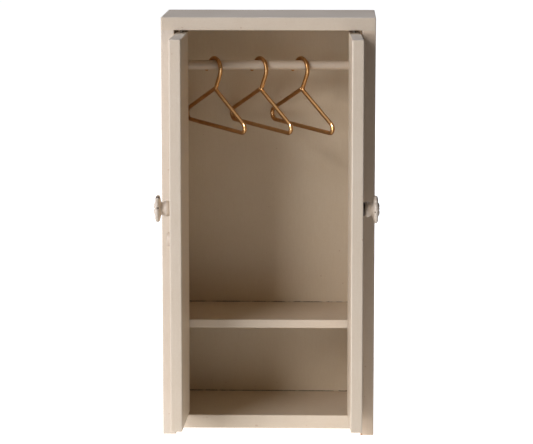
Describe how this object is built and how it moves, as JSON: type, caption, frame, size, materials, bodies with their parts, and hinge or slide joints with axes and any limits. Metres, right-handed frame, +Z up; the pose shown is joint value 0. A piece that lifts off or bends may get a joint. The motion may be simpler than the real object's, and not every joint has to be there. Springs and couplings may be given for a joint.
{
  "type": "miniature wardrobe",
  "caption": "Tall free-standing miniature wardrobe: painted cabinet with pivoting doors and flower-shaped knobs, a hanging rail with wire coat hangers, and a low shelf.",
  "frame": {"origin": "On the ground, under the middle of the whole wardrobe as it stands with both doors open", "axes": "+Z up; the front, with the doors, faces -Y; +X is to the right of someone who faces the front"},
  "size_m": [0.1106, 0.0996, 0.212],
  "materials": {
    "cream_paint": "cream satin paint over wood",
    "knob_paint": "cream satin paint, slightly pinker",
    "brass_wire": "satin brass-coloured wire",
    "steel": "plain bright steel",
    "beech": "bare wood"
  },
  "bodies": {
    "cabinet": {"back_brad_base": "steel", "back_brad_left_high": "steel", "back_brad_left_low": "steel", "back_brad_left_mid": "steel", "back_brad_right_high": "steel", "back_brad_right_low": "steel", "back_brad_right_mid": "steel", "back_brad_top": "steel", "back_panel": "cream_paint", "base_dowel_left_front": "beech", "base_dowel_left_rear": "beech", "base_dowel_right_front": "beech", "base_dowel_right_rear": "beech", "bottom_board": "cream_paint", "hanging_rail": "cream_paint", "left_side_panel": "cream_paint", "right_side_panel": "cream_paint", "shelf": "cream_paint", "shelf_pin_left_front": "steel", "shelf_pin_left_rear": "steel", "shelf_pin_right_front": "steel", "shelf_pin_right_rear": "steel", "top_board": "cream_paint", "top_dowel_left_front": "beech", "top_dowel_left_rear": "beech", "top_dowel_right_front": "beech", "top_dowel_right_rear": "beech"},
    "left_door": {"left_door": "cream_paint", "left_knob": "knob_paint", "left_knob_stud": "steel", "left_hinge_pin_top": "steel", "left_hinge_pin_base": "steel", "keyhole_plate": "knob_paint"},
    "right_door": {"right_door": "cream_paint", "right_knob": "knob_paint", "right_knob_stud": "steel", "right_hinge_pin_top": "steel", "right_hinge_pin_base": "steel"},
    "hanger_left": {"hanger_left": "brass_wire"},
    "hanger_middle": {"hanger_middle": "brass_wire"},
    "hanger_right": {"hanger_right": "brass_wire"}
  },
  "joints": [
    {"name": "left_door_hinge", "type": "hinge", "parent": "cabinet", "child": "left_door", "pos_m": [-0.043, -0.00727, 0.1072], "axis": [0, 0, -1], "range_deg": [-91.4, 10.6]},
    {"name": "right_door_hinge", "type": "hinge", "parent": "cabinet", "child": "right_door", "pos_m": [0.043, -0.00727, 0.1072], "axis": [0, 0, 1], "range_deg": [-92.1, 9.9]},
    {"name": "hanger_left_slide", "type": "slide", "parent": "cabinet", "child": "hanger_left", "axis": [1, 0, 0], "range_m": [-0.0015, 0.0095]},
    {"name": "hanger_middle_slide", "type": "slide", "parent": "cabinet", "child": "hanger_middle", "axis": [1, 0, 0], "range_m": [-0.0095, 0.0085]},
    {"name": "hanger_right_slide", "type": "slide", "parent": "cabinet", "child": "hanger_right", "axis": [1, 0, 0], "range_m": [-0.0085, 0.013]}
  ]
}
